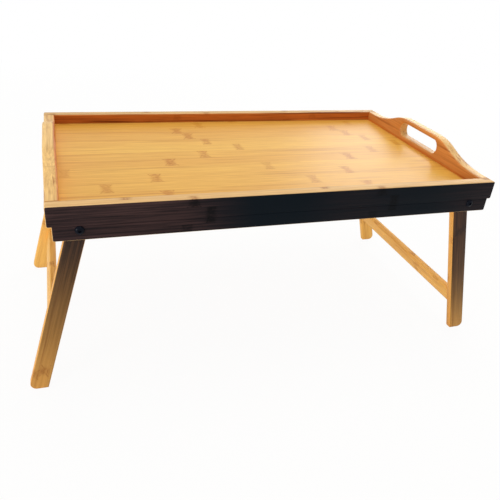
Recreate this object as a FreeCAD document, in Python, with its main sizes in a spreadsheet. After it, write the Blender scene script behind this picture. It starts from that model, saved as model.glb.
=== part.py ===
import FreeCAD, Part
import os
import Sketcher

# Bamboo bed tray table: a shallow tray with two handles on two folding leg frames.
# Frame: +X along the tray to the right, +Y to the rear, +Z up. The origin is on the floor
# under the middle of the tray, and the legs are modelled open, as they stand. Millimetres.

SIZES = [
    # the tray's frame
    ("overall_length", 500.0, "rails from end to end"),
    ("overall_depth", 300.0, "outer face of the front rail to outer face of the rear rail"),
    ("rail_top", 228.0, "height of the rails' top edge above the floor"),
    ("rail_thickness", 14.0, "front and rear rails"),
    ("rail_height", 36.5, "both tiers of a rail"),
    ("upper_tier", 21.5, "rail's upper tier, above the seam"),
    ("end_notch", 4.5, "how far the lower tier stops short of the upper one at each end"),
    ("arris", 1.2, "flat worked on the long edges of rails, panels, legs and stretchers"),
    ("seam_width", 1.2, "seam scored along the rail's outer face, across its mouth"),
    ("seam_depth", 0.5, "the same seam, its depth"),
    # side panels and their handles
    ("panel_thickness", 13.0, "side panels"),
    ("handle_rise", 19.0, "top of the handle above the rails"),
    ("handle_flat", 66.0, "level stretch on top of the handle"),
    ("handle_shoulder", 10.0, "stretch of a side panel at rail height, from each rail to the sweep"),
    ("crest_share", 0.34, "share of the sweep that bends outwards, next to the level stretch"),
    ("slot_length", 88.0, "finger slot from end to end"),
    ("slot_height", 18.0, "finger slot"),
    ("slot_lift", 4.0, "middle of the finger slot above the rails' top edge"),
    ("grip_arris", 1.8, "flat worked round the rims of the finger slot"),
    # floor panel, held in grooves all round
    ("floor_recess", 12.0, "rails' top edge down to the floor panel"),
    ("floor_thickness", 3.0, "floor panel"),
    ("groove_depth", 5.0, "grooves that hold the floor panel"),
    ("groove_play", 0.1, "free space round the floor panel in its grooves"),
    # pivots and legs
    ("pivot_inset", 29.5, "end of the rail to the pivot"),
    ("pivot_drop", 25.5, "rails' top edge down to the pivot"),
    ("leg_width", 20.0, "leg seen from the front"),
    ("leg_thickness", 10.0, "leg from front to rear"),
    ("splay_angle", 15.5, "leg's lean outwards when it stands, in degrees"),
    ("foot_round", 7.0, "outer corner of the foot"),
    ("leg_play", 0.05, "running gap on each side of a leg"),
    ("stop_play", 0.1, "gap between an open leg and its stop batten"),
    # stretchers
    ("stretcher_width", 20.0, "stretcher along the leg"),
    ("stretcher_thickness", 9.0, "stretcher across the leg"),
    ("stretcher_drop", 154.0, "pivot to the middle of the stretcher, along the leg"),
    ("stretcher_setback", 0.5, "leg's inner side to the stretcher"),
    ("tenon_length", 6.5, "stub tenon on each end of a stretcher"),
    ("tenon_width", 12.0, "stub tenon along the leg"),
    ("tenon_thickness", 5.0, "stub tenon across the leg"),
    # pivot bolts, washers and nuts
    ("bolt_diameter", 5.0, "pivot bolt's shank"),
    ("bolt_play", 0.08, "radial gap between the shank and its bores"),
    ("head_diameter", 9.0, "domed bolt head"),
    ("head_height", 2.6, "domed bolt head"),
    ("head_rim", 0.6, "straight rim under the dome"),
    ("head_crown", 5.2, "flat crown on top of the dome"),
    ("socket_width", 3.0, "hexagon socket across its flats"),
    ("socket_depth", 1.6, "hexagon socket"),
    ("bolt_tail", 1.5, "bolt end beyond the nut"),
    ("washer_diameter", 10.0, "washers on both sides of a leg"),
    ("washer_thickness", 1.0, "washers on both sides of a leg"),
    ("nut_width", 8.0, "nut across its flats"),
    ("nut_height", 5.0, "locking nut"),
    # corner dowels, and glue
    ("dowel_diameter", 6.0, "dowels that join the side panels to the rails"),
    ("dowel_flutes", 12, "the same dowels, flats between their flutes"),
    ("dowel_length", 22.0, "the same dowels"),
    ("dowel_depth", 8.5, "the same dowels, depth in the rail"),
    ("dowel_drop", 6.0, "rails' top edge down to the middle of the dowels"),
    ("glue_gap", 0.05, "space for glue round every dowel and tenon, and at their ends"),
    # cuts
    ("overshoot", 1.0, "how far a groove's cutting outline stands out of the board"),
]

doc = FreeCAD.newDocument("bed_tray_table")
sheet = doc.addObject("Spreadsheet::Sheet", "sizes")
for row, (alias, number, note) in enumerate(SIZES, start=1):
    sheet.set(f"A{row}", note)
    sheet.set(f"B{row}", str(number))
    sheet.setAlias(f"B{row}", alias)
doc.recompute()

X_AXIS = FreeCAD.Vector(1, 0, 0)
Y_AXIS = FreeCAD.Vector(0, 1, 0)
Z_AXIS = FreeCAD.Vector(0, 0, 1)
TOLERANCE = 1e-4
HALF_ROUND = "half round"
SIDES = {"left": -1, "right": 1}
ENDS = {"front": -1, "rear": 1}

# Places that several pieces share, as expressions on the sheet.
HALF_LENGTH = "sizes.overall_length / 2"
HALF_DEPTH = "sizes.overall_depth / 2"
INNER_HALF_DEPTH = f"({HALF_DEPTH} - sizes.rail_thickness)"
RAIL_BASE = "(sizes.rail_top - sizes.rail_height)"
LOWER_TIER = "(sizes.rail_height - sizes.upper_tier)"
LOWER_HALF = f"({HALF_LENGTH} - sizes.end_notch)"
PIVOT_OUT = f"({HALF_LENGTH} - sizes.pivot_inset)"
PIVOT_UP = "(sizes.rail_height - sizes.pivot_drop)"
PIVOT_HEIGHT = "(sizes.rail_top - sizes.pivot_drop)"
BORE_DIAMETER = "(sizes.bolt_diameter + 2 * sizes.bolt_play)"
DOWEL_BORE = "(sizes.dowel_diameter + 2 * sizes.glue_gap)"
# The stop batten's inner face, from the pivot: the leg's outer side meets its lower corner.
STOP_OUT = (f"((sizes.leg_width / 2 + {PIVOT_UP} * sin(sizes.splay_angle)) / cos(sizes.splay_angle)"
            " + sizes.stop_play)")
BATTEN_THICKNESS = f"({LOWER_HALF} - {PIVOT_OUT} - {STOP_OUT})"
DOWEL_LINE = f"({HALF_LENGTH} - sizes.panel_thickness / 2)"
# The leg stands between two washers, and this is its middle, from the rail's inner face.
LEG_MIDDLE = "(sizes.washer_thickness + sizes.leg_play + sizes.leg_thickness / 2)"
LEG_STACK = "(sizes.washer_thickness + 2 * sizes.leg_play + sizes.leg_thickness)"
LEG_GAP = f"({INNER_HALF_DEPTH} - {LEG_STACK} + sizes.leg_play)"
STRETCHER_SIDE = "(sizes.leg_width / 2 - sizes.stretcher_setback)"
STRETCHER_MIDDLE = f"({STRETCHER_SIDE} - sizes.stretcher_thickness / 2)"


def value(expression):
    """The number that an expression on the sheet has now."""
    result = sheet.evalExpression(expression)
    return float(getattr(result, "Value", result))


def bind(target, bindings):
    """Tie properties of an object to expressions on the sheet."""
    for path, expression in bindings.items():
        target.setExpression(path, expression)


def new_body(name):
    body = doc.addObject("PartDesign::Body", name)
    body.Label = name
    return body


def new_sketch(body, role, name, offset=None):
    """A sketch on one of the body's own origin planes, or at an offset from it."""
    sketch = body.newObject("Sketcher::SketchObject", name)
    plane = next(feature for feature in body.Origin.OriginFeatures if feature.Role == role)
    sketch.AttachmentSupport = [(plane, "")]
    sketch.MapMode = "FlatFace"
    if offset is not None:
        sketch.setExpression("AttachmentOffset.Base.z", offset)
    return sketch


def place_point(sketch, geometry, position, x, y):
    """Hold one point of a sketch at two expressions."""
    for kind, expression in (("DistanceX", x), ("DistanceY", y)):
        constraint = Sketcher.Constraint(kind, -1, 1, geometry, position, value(expression))
        index = sketch.addConstraint(constraint)
        sketch.setExpression(f"Constraints[{index}]", expression)


def draw_outline(sketch, corners, arcs=None):
    """A closed outline through corners given as expressions.

    arcs maps a corner's index to (radius, turn): the stretch after that corner is an arc,
    anticlockwise for a turn of 1 and clockwise for -1. It is a half circle with HALF_ROUND.
    """
    arcs = arcs or {}
    points = [FreeCAD.Vector(value(x), value(y), 0) for x, y in corners]
    stretches = []
    for index, start in enumerate(points):
        end = points[(index + 1) % len(points)]
        if index not in arcs:
            line = sketch.addGeometry(Part.LineSegment(start, end))
            stretches.append((line, 1, 2))
            continue
        radius, turn = arcs[index]
        chord = end - start
        size = chord.Length / 2 if radius == HALF_ROUND else value(radius)
        across = Z_AXIS.cross(chord).normalize() * turn
        reach = max(size ** 2 - (chord.Length / 2) ** 2, 0.0) ** 0.5
        centre = (start + end) / 2 + across * reach
        first, last = (start, end) if turn > 0 else (end, start)
        angles = [FreeCAD.Vector(1, 0, 0).getAngle(point - centre) * (1 if point.y >= centre.y else -1)
                  for point in (first, last)]
        circle = Part.Circle(centre, Z_AXIS, size)
        arc = sketch.addGeometry(Part.ArcOfCircle(circle, angles[0], angles[1]))
        stretches.append((arc, 1, 2) if turn > 0 else (arc, 2, 1))
    for index, (geometry, begin, _) in enumerate(stretches):
        before, _, finish = stretches[index - 1]
        sketch.addConstraint(Sketcher.Constraint("Coincident", before, finish, geometry, begin))
        place_point(sketch, geometry, begin, *corners[index])
    for index, (radius, _) in arcs.items():
        arc = stretches[index][0]
        if radius == HALF_ROUND:
            chord = Part.LineSegment(points[index], points[(index + 1) % len(points)])
            guide = sketch.addGeometry(chord, True)
            sketch.addConstraint(Sketcher.Constraint("Coincident", guide, 1, arc, stretches[index][1]))
            sketch.addConstraint(Sketcher.Constraint("Coincident", guide, 2, arc, stretches[index][2]))
            sketch.addConstraint(Sketcher.Constraint("PointOnObject", arc, 3, guide))
            continue
        held = sketch.addConstraint(Sketcher.Constraint("Radius", arc, value(radius)))
        sketch.setExpression(f"Constraints[{held}]", radius)


def with_mirror(corners):
    """The corners of one half of a symmetric outline, and the same ones mirrored."""
    return corners + [(f"-({across})", up) for across, up in reversed(corners)]


def draw_box(sketch, left, right, low, high):
    draw_outline(sketch, [(left, low), (right, low), (right, high), (left, high)])


def draw_circle(sketch, x, y, diameter):
    centre = FreeCAD.Vector(value(x), value(y), 0)
    geometry = sketch.addGeometry(Part.Circle(centre, Z_AXIS, value(diameter) / 2))
    place_point(sketch, geometry, 3, x, y)
    held = sketch.addConstraint(Sketcher.Constraint("Diameter", geometry, value(diameter)))
    sketch.setExpression(f"Constraints[{held}]", diameter)


def pad(body, sketch, name, length, backwards=False, both_ways=False):
    """Raise a sketch into a solid."""
    feature = body.newObject("PartDesign::Pad", name)
    feature.Profile = sketch
    feature.setExpression("Length", length)
    feature.Reversed = backwards
    feature.Midplane = both_ways
    doc.recompute()
    return feature


def cut(body, sketch, name, length, backwards=False, both_ways=False):
    """Cut a sketch out of the body, and make sure that it took something away."""
    before = body.Shape.Volume
    feature = body.newObject("PartDesign::Pocket", name)
    feature.Profile = sketch
    feature.setExpression("Length", length)
    feature.Reversed = backwards
    feature.Midplane = both_ways
    doc.recompute()
    if body.Shape.Volume > before - TOLERANCE:
        raise RuntimeError(f"{body.Label}: {name} cuts nothing")
    return feature


def middle_of(edge):
    return edge.valueAt((edge.FirstParameter + edge.LastParameter) / 2)


def work_edges(body, name, kind, size, wanted):
    """Chamfer or fillet the edges of the body whose ends and middle all pass the test."""
    base = body.Tip
    chosen = []
    for index, edge in enumerate(base.Shape.Edges, start=1):
        points = [vertex.Point for vertex in edge.Vertexes] + [middle_of(edge)]
        if all(wanted(point) for point in points):
            chosen.append(f"Edge{index}")
    if not chosen:
        raise RuntimeError(f"{body.Label}: {name} finds no edges")
    feature = body.newObject(f"PartDesign::{kind}", name)
    feature.Base = (base, chosen)
    feature.setExpression("Radius" if kind == "Fillet" else "Size", size)
    doc.recompute()
    return feature


def ease_edges(body, name, size, wanted):
    return work_edges(body, name, "Chamfer", size, wanted)


def turn_about_z(piece, angle):
    piece.Placement = FreeCAD.Placement(FreeCAD.Vector(), FreeCAD.Rotation(Z_AXIS, angle))


def near(first, second):
    return abs(first - second) < TOLERANCE


def make_rail(name, side):
    """A rail, side -1 in front and 1 at the rear: its own origin is low on its outer face."""
    body = new_body(name)
    profile = new_sketch(body, "XZ_Plane", f"{name}_outline")
    right_end = [(LOWER_HALF, "0"), (LOWER_HALF, LOWER_TIER),
                 (HALF_LENGTH, LOWER_TIER), (HALF_LENGTH, "sizes.rail_height")]
    draw_outline(profile, with_mirror(right_end))
    pad(body, profile, f"{name}_board", "sizes.rail_thickness", backwards=True)
    thickness = value("sizes.rail_thickness")
    height = value("sizes.rail_height")
    step = value(LOWER_TIER)
    end = value(HALF_LENGTH)
    lower_end = value(LOWER_HALF)

    def outer_rim(point):
        return near(point.y, 0)

    def end_corners(point):
        top = near(point.z, height) and near(abs(point.x), end)
        middle = near(point.z, step) and near(abs(point.x), end)
        low = near(point.z, 0) and near(abs(point.x), lower_end)
        return top or middle or low

    def inner_lines(point):
        return near(point.y, thickness) and (near(point.z, height) or near(point.z, 0))

    ease_edges(body, f"{name}_corners", "sizes.arris", end_corners)
    ease_edges(body, f"{name}_outer_rim", "sizes.arris", outer_rim)
    ease_edges(body, f"{name}_inner_lines", "sizes.arris", inner_lines)

    seam = new_sketch(body, "YZ_Plane", f"{name}_seam_section")
    draw_outline(seam, [("0", f"{LOWER_TIER} - sizes.seam_width / 2"),
                        ("sizes.seam_depth", LOWER_TIER),
                        ("0", f"{LOWER_TIER} + sizes.seam_width / 2"),
                        ("-sizes.seam_depth", LOWER_TIER)])
    cut(body, seam, f"{name}_seam", "sizes.overall_length", both_ways=True)

    groove = new_sketch(body, "YZ_Plane", f"{name}_groove_section")
    groove_top = "sizes.rail_height - sizes.floor_recess + sizes.groove_play"
    draw_box(groove, "sizes.rail_thickness - sizes.groove_depth", "sizes.rail_thickness + sizes.overshoot",
             f"{groove_top} - sizes.floor_thickness - 2 * sizes.groove_play", groove_top)
    cut(body, groove, f"{name}_groove",
        "sizes.overall_length - 2 * (sizes.panel_thickness - sizes.groove_depth)", both_ways=True)

    bores = new_sketch(body, "XZ_Plane", f"{name}_pivot_bores")
    for hand in (-1, 1):
        draw_circle(bores, f"{hand} * {PIVOT_OUT}", PIVOT_UP, BORE_DIAMETER)
    cut(body, bores, f"{name}_bores", "2 * sizes.rail_thickness", both_ways=True)

    holes = new_sketch(body, "XZ_Plane", f"{name}_dowel_holes", offset="-sizes.rail_thickness")
    for hand in (-1, 1):
        draw_circle(holes, f"{hand} * {DOWEL_LINE}", "sizes.rail_height - sizes.dowel_drop", DOWEL_BORE)
    cut(body, holes, f"{name}_dowel_bores", "sizes.dowel_depth + sizes.glue_gap", backwards=True)

    turn_about_z(body, 0 if side < 0 else 180)
    bind(body, {"Placement.Base.y": f"{side} * {HALF_DEPTH}", "Placement.Base.z": RAIL_BASE})
    return body


def make_side_panel(name, side):
    """A side panel with its handle: its own origin is low on its outer face, at mid length."""
    body = new_body(name)
    profile = new_sketch(body, "YZ_Plane", f"{name}_outline")
    top = "sizes.upper_tier"
    crest = f"({top} + sizes.handle_rise)"
    sweep_end = f"({INNER_HALF_DEPTH} - sizes.handle_shoulder)"
    run = f"({sweep_end} - sizes.handle_flat / 2)"
    turn_along = f"(sizes.handle_flat / 2 + sizes.crest_share * {run})"
    turn_up = f"({top} + (1 - sizes.crest_share) * sizes.handle_rise)"
    sweep = f"(({run} ^ 2 + sizes.handle_rise ^ 2) / (2 * sizes.handle_rise))"
    half = [(INNER_HALF_DEPTH, "0"), (INNER_HALF_DEPTH, top), (sweep_end, top),
            (turn_along, turn_up), ("sizes.handle_flat / 2", crest)]
    hollow = f"(1 - sizes.crest_share) * {sweep}"
    bulge = f"sizes.crest_share * {sweep}"
    draw_outline(profile, with_mirror(half),
                 {2: (hollow, -1), 3: (bulge, 1), 5: (bulge, 1), 6: (hollow, -1)})
    pad(body, profile, f"{name}_board", "sizes.panel_thickness", backwards=True)

    slot = new_sketch(body, "YZ_Plane", f"{name}_slot_outline")
    slot_radius = "sizes.slot_height / 2"
    straight = f"(sizes.slot_length / 2 - {slot_radius})"
    slot_low = f"{top} + sizes.slot_lift - {slot_radius}"
    slot_high = f"{top} + sizes.slot_lift + {slot_radius}"
    draw_outline(slot, [(f"-{straight}", slot_low), (straight, slot_low),
                        (straight, slot_high), (f"-{straight}", slot_high)],
                 {1: (HALF_ROUND, 1), 3: (HALF_ROUND, 1)})
    cut(body, slot, f"{name}_slot", "3 * sizes.panel_thickness", both_ways=True)

    thickness = value("sizes.panel_thickness")
    rail_level = value(top)
    low, high = value(slot_low), value(slot_high)
    slot_end = value("sizes.slot_length / 2")

    def on_a_face(point):
        return near(point.x, 0) or near(point.x, -thickness)

    def slot_rim(point):
        inside = low - TOLERANCE < point.z < high + TOLERANCE
        return on_a_face(point) and inside and abs(point.y) < slot_end + TOLERANCE

    def top_line(point):
        return on_a_face(point) and point.z > rail_level - TOLERANCE and not slot_rim(point)

    ease_edges(body, f"{name}_top_lines", "sizes.arris", top_line)
    ease_edges(body, f"{name}_slot_rims", "sizes.grip_arris", slot_rim)

    groove = new_sketch(body, "XZ_Plane", f"{name}_groove_section")
    groove_top = f"{top} - sizes.floor_recess + sizes.groove_play"
    draw_box(groove, "-sizes.panel_thickness - sizes.overshoot",
             "sizes.groove_depth - sizes.panel_thickness",
             f"{groove_top} - sizes.floor_thickness - 2 * sizes.groove_play", groove_top)
    cut(body, groove, f"{name}_groove", "sizes.overall_depth", both_ways=True)

    for end_name, end in ENDS.items():
        hole = new_sketch(body, "XZ_Plane", f"{name}_{end_name}_dowel_hole",
                          offset=f"{-end} * {INNER_HALF_DEPTH}")
        draw_circle(hole, "-sizes.panel_thickness / 2", f"{top} - sizes.dowel_drop", DOWEL_BORE)
        cut(body, hole, f"{name}_{end_name}_dowel_bore",
            "sizes.dowel_length - sizes.dowel_depth + sizes.glue_gap", backwards=end > 0)

    turn_about_z(body, 0 if side > 0 else 180)
    bind(body, {"Placement.Base.x": f"{side} * {HALF_LENGTH}",
                "Placement.Base.z": f"{RAIL_BASE} + {LOWER_TIER}"})
    return body


def make_floor_panel(name):
    body = new_body(name)
    half_x = f"({HALF_LENGTH} - sizes.panel_thickness + sizes.groove_depth - sizes.groove_play)"
    half_y = f"({INNER_HALF_DEPTH} + sizes.groove_depth - sizes.groove_play)"
    profile = new_sketch(body, "XY_Plane", f"{name}_outline")
    draw_box(profile, f"-{half_x}", half_x, f"-{half_y}", half_y)
    pad(body, profile, f"{name}_board", "sizes.floor_thickness", backwards=True)
    bind(body, {"Placement.Base.z": "sizes.rail_top - sizes.floor_recess"})
    return body


def make_stop_batten(name, side):
    """The batten under a side panel, whose lower inner corner stops the open legs."""
    body = new_body(name)
    profile = new_sketch(body, "XZ_Plane", f"{name}_section")
    draw_box(profile, f"-{BATTEN_THICKNESS}", "0", "0", LOWER_TIER)
    pad(body, profile, f"{name}_board", f"2 * {INNER_HALF_DEPTH}", both_ways=True)

    def outer_low_line(point):
        return near(point.x, 0) and near(point.z, 0)

    ease_edges(body, f"{name}_low_line", "sizes.arris", outer_low_line)
    turn_about_z(body, 0 if side > 0 else 180)
    bind(body, {"Placement.Base.x": f"{side} * {LOWER_HALF}", "Placement.Base.z": RAIL_BASE})
    return body


def lean(piece, side, y):
    """Put a piece of a leg frame, drawn round its pivot and pointing down, at its open angle."""
    piece.Placement = FreeCAD.Placement(FreeCAD.Vector(), FreeCAD.Rotation(Y_AXIS * -side, 1))
    bind(piece, {"Placement.Base.x": f"{side} * {PIVOT_OUT}", "Placement.Base.y": y,
                 "Placement.Base.z": PIVOT_HEIGHT, "Placement.Rotation.Angle": "sizes.splay_angle"})


def make_leg(name, side, end):
    """A leg, side -1 at the left and 1 at the right, end -1 in front and 1 at the rear."""
    body = new_body(name)
    profile = new_sketch(body, "XZ_Plane", f"{name}_outline")
    half = "sizes.leg_width / 2"

    def sole(out):
        """Distance down the leg to the floor, at a distance out from its middle line."""
        return f"-({PIVOT_HEIGHT} + {out} * sin(sizes.splay_angle)) / cos(sizes.splay_angle)"

    corners = [(f"{side} * {half}", "0"), (f"{-side} * {half}", "0"),
               (f"{-side} * {half}", sole(f"(-{half})")), (f"{side} * {half}", sole(half))]
    draw_outline(profile, corners, {0: (HALF_ROUND, side)})
    pad(body, profile, f"{name}_bar", "sizes.leg_thickness", both_ways=True)
    heel = [value(part) for part in corners[3]]

    def outer_heel(point):
        return near(point.x, heel[0]) and near(point.z, heel[1])

    thickness = value("sizes.leg_thickness / 2")
    work_edges(body, f"{name}_heel", "Fillet", "sizes.foot_round", outer_heel)
    ease_edges(body, f"{name}_long_edges", "sizes.arris", lambda point: near(abs(point.y), thickness))
    bore = new_sketch(body, "XZ_Plane", f"{name}_bore_outline")
    draw_circle(bore, "0", "0", BORE_DIAMETER)
    cut(body, bore, f"{name}_bore", "2 * sizes.leg_thickness", both_ways=True)
    inner_face = f"{end} * sizes.leg_thickness / 2"
    mortise = new_sketch(body, "XZ_Plane", f"{name}_mortise_outline", offset=inner_face)
    draw_tenon(mortise, side, "sizes.glue_gap")
    cut(body, mortise, f"{name}_mortise", "sizes.tenon_length + sizes.glue_gap", backwards=end < 0)
    lean(body, side, f"{end} * ({INNER_HALF_DEPTH} - {LEG_MIDDLE})")
    return body


def draw_tenon(sketch, side, gap):
    """The section of a stretcher's tenon, or with a gap that of its mortise."""
    across = f"(sizes.tenon_thickness / 2 + {gap})"
    along = f"(sizes.tenon_width / 2 + {gap})"
    middle = f"{-side} * {STRETCHER_MIDDLE}"
    draw_box(sketch, f"{middle} - {across}", f"{middle} + {across}",
             f"-sizes.stretcher_drop - {along}", f"-sizes.stretcher_drop + {along}")


def make_stretcher(name, side):
    """The bar between the two legs of a frame, with a stub tenon at each end."""
    body = new_body(name)
    profile = new_sketch(body, "XZ_Plane", f"{name}_section")
    inner = f"{-side} * {STRETCHER_SIDE}"
    outer = f"{-side} * ({STRETCHER_SIDE} - sizes.stretcher_thickness)"
    high = "sizes.stretcher_width / 2 - sizes.stretcher_drop"
    low = "-sizes.stretcher_width / 2 - sizes.stretcher_drop"
    draw_outline(profile, [(inner, low), (outer, low), (outer, high), (inner, high)])
    pad(body, profile, f"{name}_bar", f"2 * {LEG_GAP}", both_ways=True)
    sides = [value(part) for part in (inner, outer)]
    levels = [value(part) for part in (low, high)]

    def long_edge(point):
        """Points on the four long corners, so only whole long edges pass with their middles."""
        at_corner = any(near(point.x, side_x) for side_x in sides)
        return at_corner and any(near(point.z, level) for level in levels)

    ease_edges(body, f"{name}_long_edges", "sizes.arris", long_edge)
    tenons = new_sketch(body, "XZ_Plane", f"{name}_tenon_section")
    draw_tenon(tenons, side, "0")
    pad(body, tenons, f"{name}_tenons", f"2 * ({LEG_GAP} + sizes.tenon_length)", both_ways=True)
    lean(body, side, "0")
    return body


def make_bolt(name, side, end):
    """A pivot bolt: its own origin is where its head meets the rail, with +Y along the shank."""
    body = new_body(name)
    profile = new_sketch(body, "XY_Plane", f"{name}_half_section")
    head = "sizes.head_diameter / 2"
    shank = "sizes.bolt_diameter / 2"
    length = (f"(sizes.rail_thickness + {LEG_STACK} + sizes.washer_thickness"
              " + sizes.nut_height + sizes.bolt_tail)")
    draw_outline(profile, [("0", "-sizes.head_height"), ("sizes.head_crown / 2", "-sizes.head_height"),
                           (head, "-sizes.head_rim"), (head, "0"), (shank, "0"),
                           (shank, length), ("0", length)])
    turned = body.newObject("PartDesign::Revolution", f"{name}_turned")
    turned.Profile = profile
    turned.ReferenceAxis = (profile, ["V_Axis"])
    turned.Angle = 360
    doc.recompute()
    socket = new_sketch(body, "XZ_Plane", f"{name}_socket_outline", offset="sizes.head_height")
    reach = "sizes.socket_width / sqrt(3)"
    draw_outline(socket, [(f"{reach} * cos({angle})", f"{reach} * sin({angle})")
                          for angle in range(0, 360, 60)])
    cut(body, socket, f"{name}_socket", "sizes.socket_depth")
    turn_about_z(body, 0 if end < 0 else 180)
    bind(body, {"Placement.Base.x": f"{side} * {PIVOT_OUT}",
                "Placement.Base.y": f"{end} * {HALF_DEPTH}", "Placement.Base.z": PIVOT_HEIGHT})
    return body


def cylinder(name, diameter, height):
    piece = doc.addObject("Part::Cylinder", name)
    bind(piece, {"Radius": f"{diameter} / 2", "Height": height})
    return piece


def prism(name, sides, across_corners, height):
    """A regular prism, its number of sides given as an expression too."""
    piece = doc.addObject("Part::Prism", name)
    bind(piece, {"Polygon": sides, "Circumradius": f"{across_corners} / 2", "Height": height})
    return piece


def point_inwards(piece, end):
    """Turn a piece's own Z axis from the rail towards the middle of the tray."""
    piece.Placement = FreeCAD.Placement(FreeCAD.Vector(), FreeCAD.Rotation(X_AXIS, 90 * end))


def on_pivot(piece, name, side, end, inset):
    """Put a ring on its pivot, at a distance in from the rail's inner face."""
    piece.Label = name
    point_inwards(piece, end)
    bind(piece, {"Placement.Base.x": f"{side} * {PIVOT_OUT}",
                 "Placement.Base.y": f"{end} * ({INNER_HALF_DEPTH} - {inset})",
                 "Placement.Base.z": PIVOT_HEIGHT})
    return piece


def make_washer(name, side, end, inset):
    ring = doc.addObject("Part::Cut", name)
    ring.Base = cylinder(f"{name}_disc", "sizes.washer_diameter", "sizes.washer_thickness")
    ring.Tool = cylinder(f"{name}_hole", BORE_DIAMETER, "sizes.washer_thickness")
    return on_pivot(ring, name, side, end, inset)


def make_nut(name, side, end):
    nut = doc.addObject("Part::Cut", name)
    nut.Base = prism(f"{name}_hexagon", "6", "(2 * sizes.nut_width / sqrt(3))", "sizes.nut_height")
    nut.Tool = cylinder(f"{name}_hole", BORE_DIAMETER, "sizes.nut_height")
    return on_pivot(nut, name, side, end, f"({LEG_STACK} + sizes.washer_thickness)")


def make_group(name, members):
    """Several like pieces of one body, kept as separate solids in one node."""
    group = doc.addObject("Part::Compound", name)
    group.Label = name
    group.Links = members
    return group


def make_corner_dowels(name, side):
    """The fluted dowels at the two ends of a side panel."""
    dowels = []
    for end_name, end in ENDS.items():
        dowel = prism(f"{name}_{end_name}", "sizes.dowel_flutes", "sizes.dowel_diameter",
                      "sizes.dowel_length")
        point_inwards(dowel, end)
        bind(dowel, {"Placement.Base.x": f"{side} * {DOWEL_LINE}",
                     "Placement.Base.y": f"{end} * ({INNER_HALF_DEPTH} + sizes.dowel_depth)",
                     "Placement.Base.z": "sizes.rail_top - sizes.dowel_drop"})
        dowels.append(dowel)
    return make_group(name, dowels)


pieces = [make_floor_panel("floor_panel")]
for end_name, end in ENDS.items():
    pieces.append(make_rail(f"{end_name}_rail", end))
for side_name, side in SIDES.items():
    pieces.append(make_side_panel(f"{side_name}_side_panel", side))
    pieces.append(make_stop_batten(f"{side_name}_stop_batten", side))
    pieces.append(make_corner_dowels(f"{side_name}_corner_dowels", side))
    pieces.append(make_stretcher(f"{side_name}_stretcher", side))
    for end_name, end in ENDS.items():
        corner = f"{side_name}_{end_name}"
        pieces.append(make_leg(f"{corner}_leg", side, end))
        pieces.append(make_bolt(f"{corner}_pivot_bolt", side, end))
        pieces.append(make_washer(f"{corner}_spacer_washer", side, end, "0"))
        pieces.append(make_washer(f"{corner}_nut_washer", side, end, LEG_STACK))
        pieces.append(make_nut(f"{corner}_pivot_nut", side, end))
doc.recompute()

for feature in doc.Objects:
    if "Invalid" in feature.State or "Error" in feature.State:
        raise RuntimeError(f"{feature.Label} did not compute: {feature.State}")
for piece in pieces:
    if piece.Shape.isNull() or not piece.Shape.isValid():
        raise RuntimeError(f"{piece.Label} has no valid shape")

os.makedirs("parts", exist_ok=True)
for piece in pieces:
    piece.Shape.exportStep(f"parts/{piece.Label}.step")
    box = piece.Shape.BoundBox
    print(f"{piece.Label}: {len(piece.Shape.Solids)} solid(s), {piece.Shape.Volume / 1000:.2f} cm3,"
          f" x {box.XMin:.2f}..{box.XMax:.2f} y {box.YMin:.2f}..{box.YMax:.2f}"
          f" z {box.ZMin:.2f}..{box.ZMax:.2f}")
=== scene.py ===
import math

import bmesh
import bpy
from mathutils import Matrix, Vector


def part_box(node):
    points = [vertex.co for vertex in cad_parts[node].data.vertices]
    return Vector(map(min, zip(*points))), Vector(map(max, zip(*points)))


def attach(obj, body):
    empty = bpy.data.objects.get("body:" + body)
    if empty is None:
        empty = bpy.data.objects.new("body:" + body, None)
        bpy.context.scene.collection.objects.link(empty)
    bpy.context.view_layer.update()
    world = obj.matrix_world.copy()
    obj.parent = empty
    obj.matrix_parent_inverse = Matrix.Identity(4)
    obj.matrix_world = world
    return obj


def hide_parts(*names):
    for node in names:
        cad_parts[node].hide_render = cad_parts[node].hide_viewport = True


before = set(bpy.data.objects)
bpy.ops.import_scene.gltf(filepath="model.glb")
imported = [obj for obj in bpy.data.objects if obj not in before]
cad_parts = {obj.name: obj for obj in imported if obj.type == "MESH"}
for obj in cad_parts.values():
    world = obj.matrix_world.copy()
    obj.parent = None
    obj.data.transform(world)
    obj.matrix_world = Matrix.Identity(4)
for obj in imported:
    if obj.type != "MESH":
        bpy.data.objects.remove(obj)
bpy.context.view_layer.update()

# Bamboo bed tray table: the grain, lacquer and painted light and shade of every board, the pivot hardware,
# a studio floor and lights.
# Lengths are in metres unless a name ends in _mm. Left and front are -1, right and rear are 1.
SIDES = {"left": -1, "right": 1}
ENDS = {"front": -1, "rear": 1}
MM = 0.001

# The leg frames lean outwards by this angle when they stand open.
SPLAY = math.radians(15.5)


# ---------------------------------------------------------------- helpers

def linear(hex_colour):
    """An sRGB hex colour as linear RGBA."""
    channels = [int(hex_colour[start:start + 2], 16) / 255 for start in (1, 3, 5)]
    return (*(c / 12.92 if c <= 0.04045 else ((c + 0.055) / 1.055) ** 2.4 for c in channels), 1.0)


def add(tree, kind, inputs=None, **settings):
    """Add a node. An input is a value, a socket, a node, whose first output is used, or a list of nodes."""
    node = tree.nodes.new(kind)
    for name, setting in settings.items():
        setattr(node, name, setting)
    for socket, given in (inputs or {}).items():
        for source in given if isinstance(given, list) else [given]:
            if isinstance(source, bpy.types.Node):
                source = source.outputs[0]
            if isinstance(source, bpy.types.NodeSocket):
                tree.links.new(source, node.inputs[socket])
            else:
                node.inputs[socket].default_value = source
    return node


def new_material(name):
    """An empty material and its node tree."""
    material = bpy.data.materials.new(name)
    material.use_nodes = True
    material.node_tree.nodes.clear()
    return material, material.node_tree


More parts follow.
